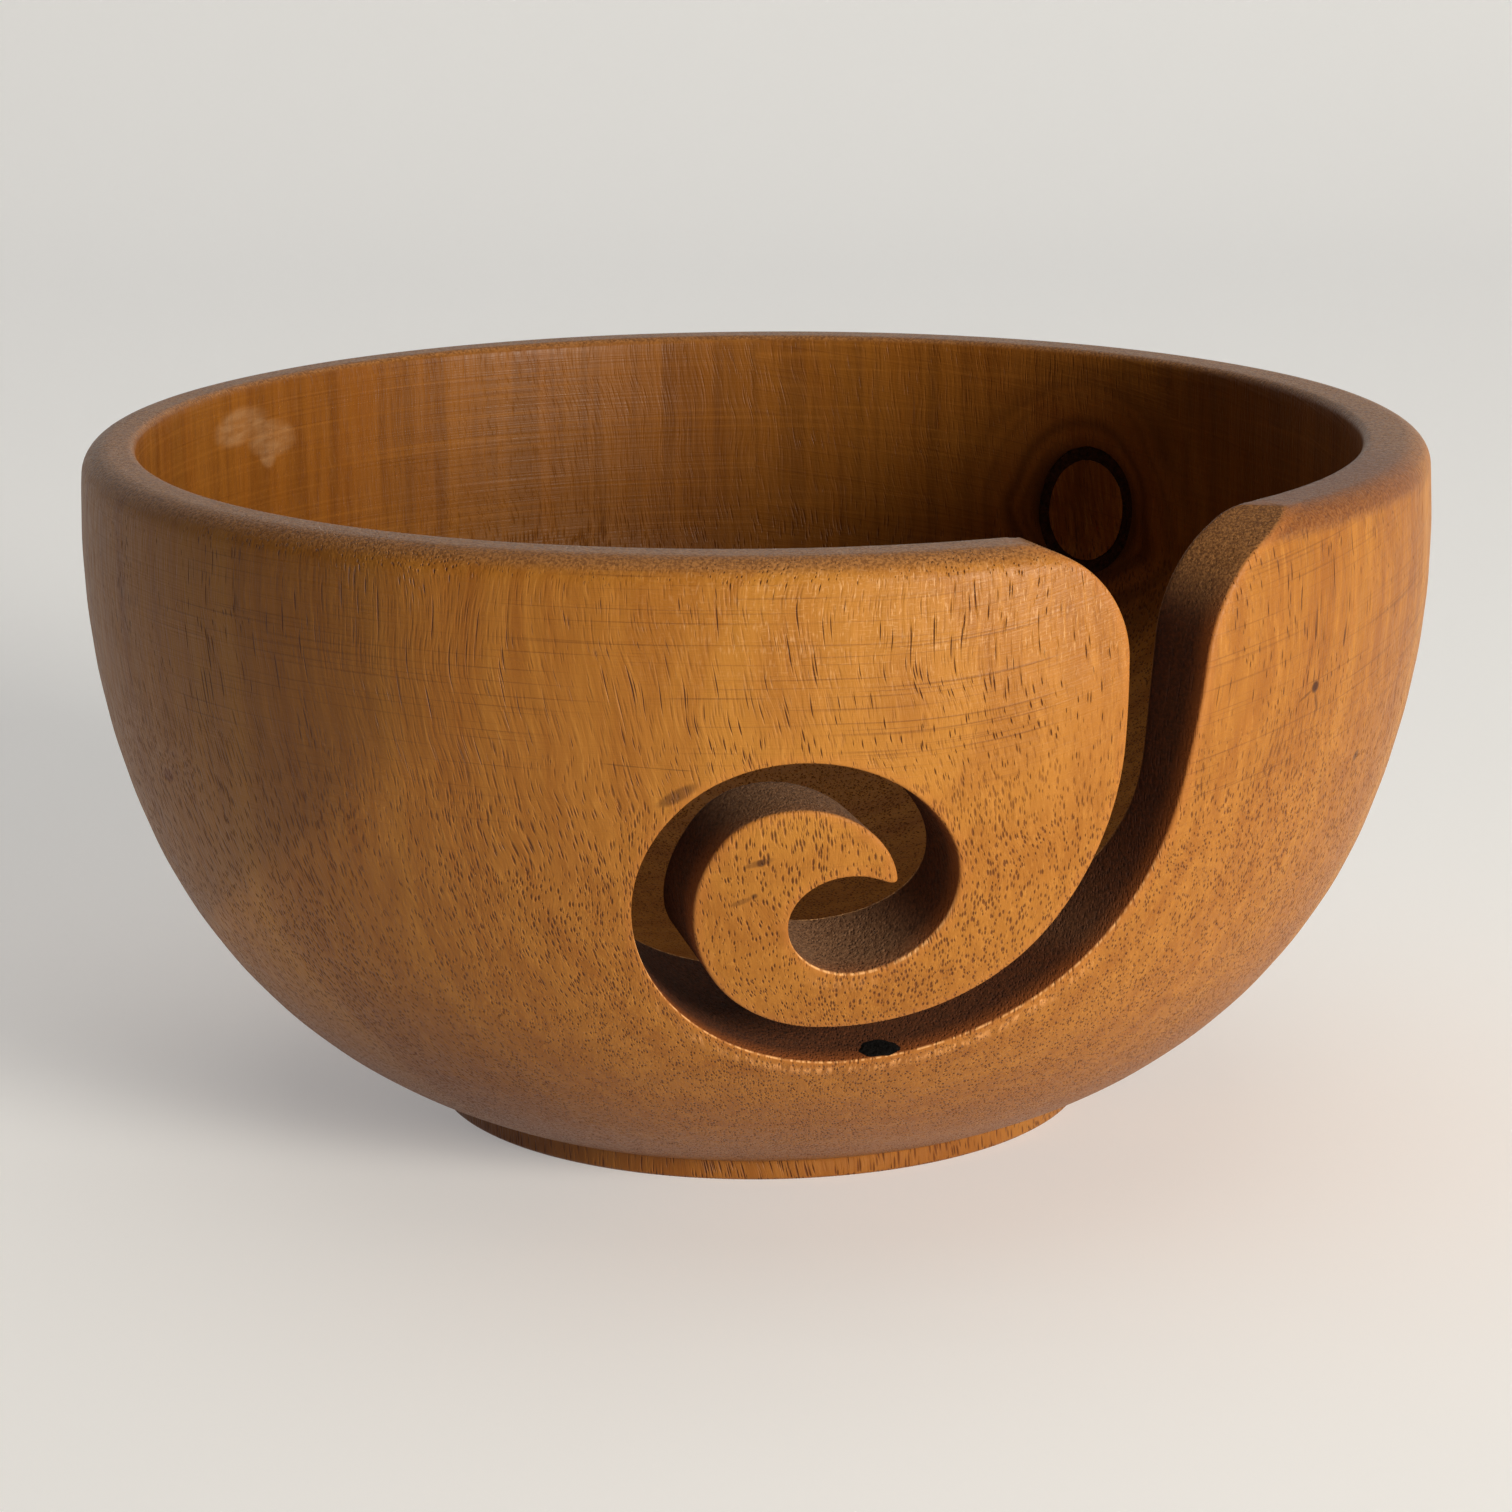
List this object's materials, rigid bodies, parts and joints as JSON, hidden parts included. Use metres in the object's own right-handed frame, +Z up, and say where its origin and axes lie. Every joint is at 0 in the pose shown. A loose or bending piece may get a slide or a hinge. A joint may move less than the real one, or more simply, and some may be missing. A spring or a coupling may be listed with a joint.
{
  "type": "yarn bowl",
  "caption": "Turned wooden bowl with a spiral slot in its wall that guides and brakes yarn fed from a ball inside.",
  "frame": {"origin": "centre of the foot's underside, on the bowl's axis", "axes": "+Z up along the bowl's axis, from the foot to the rim; -Y towards the side with the slot; +X to the right as the slot is faced"},
  "size_m": [0.1524, 0.1524, 0.077],
  "materials": {
    "turned_wood": "satin oiled, open pores",
    "knot_wood": "satin oiled",
    "dark_bark": "matt"
  },
  "bodies": {
    "root": {"bowl": "turned_wood", "wall_knot": "knot_wood", "knot_bark": "dark_bark", "slot_inclusion": "dark_bark"}
  },
  "joints": []
}
